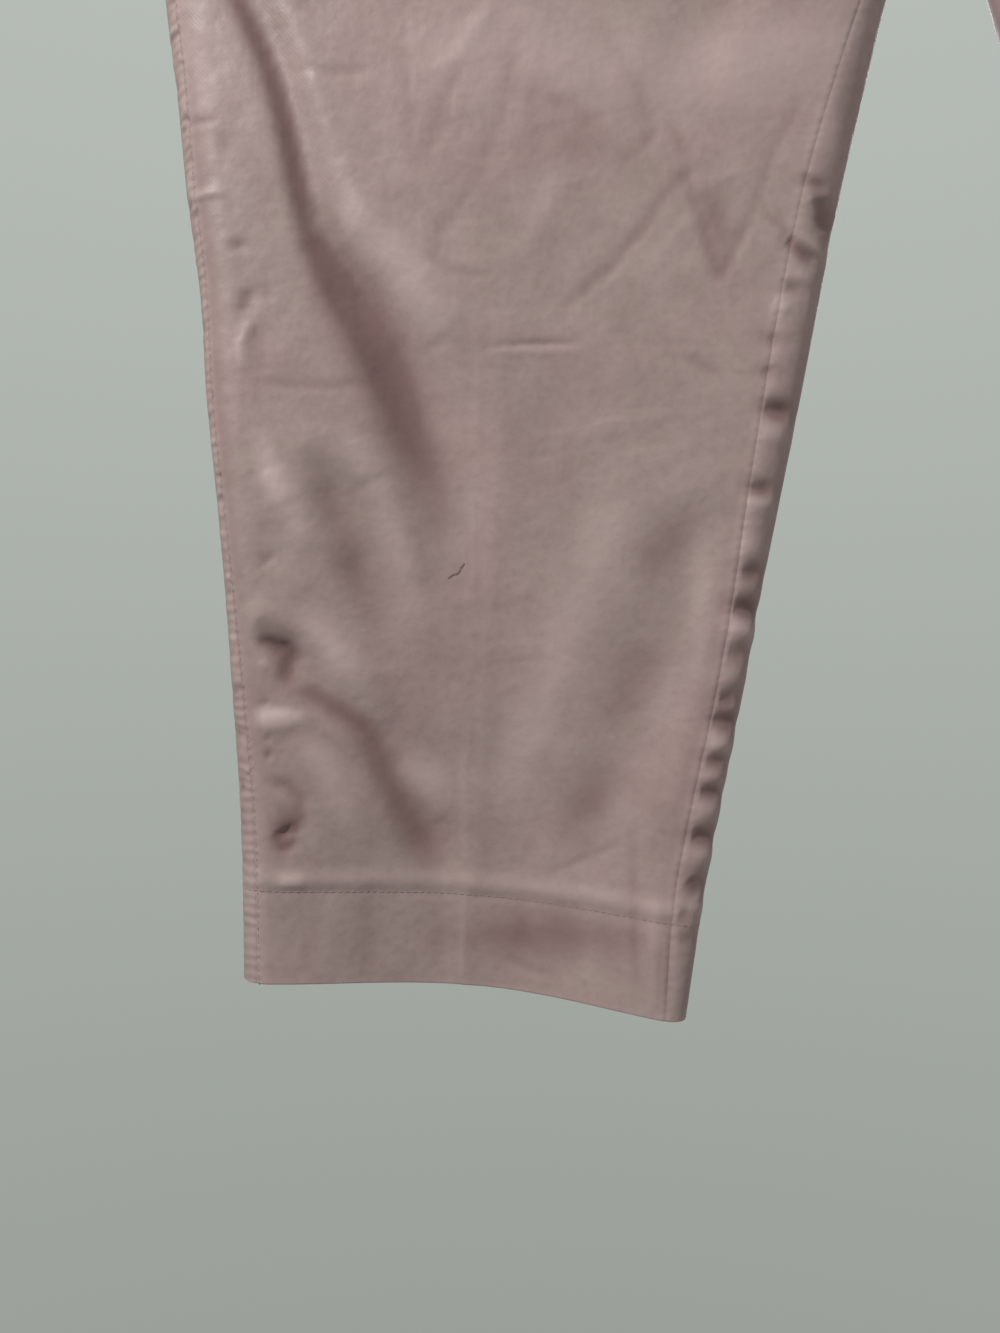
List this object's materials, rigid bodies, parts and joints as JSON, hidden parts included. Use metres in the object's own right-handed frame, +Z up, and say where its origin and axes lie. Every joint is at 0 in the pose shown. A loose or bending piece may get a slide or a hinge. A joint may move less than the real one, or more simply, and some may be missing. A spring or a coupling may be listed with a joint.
{
  "type": "capri pants",
  "caption": "Mid-calf trousers that hang flat from the waist, with tapered open legs, turned-up hems, a waistband and a buttoned fly.",
  "frame": {"origin": "middle of the waistband's upper edge, where the garment is held", "axes": "+Z up, -Y towards the front of the garment, +X towards the wearer's left"},
  "size_m": [0.6666, 0.0453, 0.7751],
  "materials": {
    "sateen": "soft satin sheen, dusty pink",
    "zip_tape": "plain woven tape",
    "button_plastic": "satin"
  },
  "bodies": {
    "root": {"front_right": "sateen", "front_left": "sateen", "back_right": "sateen", "back_left": "sateen", "waistband": "sateen", "fly": "sateen", "zip": "zip_tape", "button": "button_plastic"}
  },
  "joints": []
}
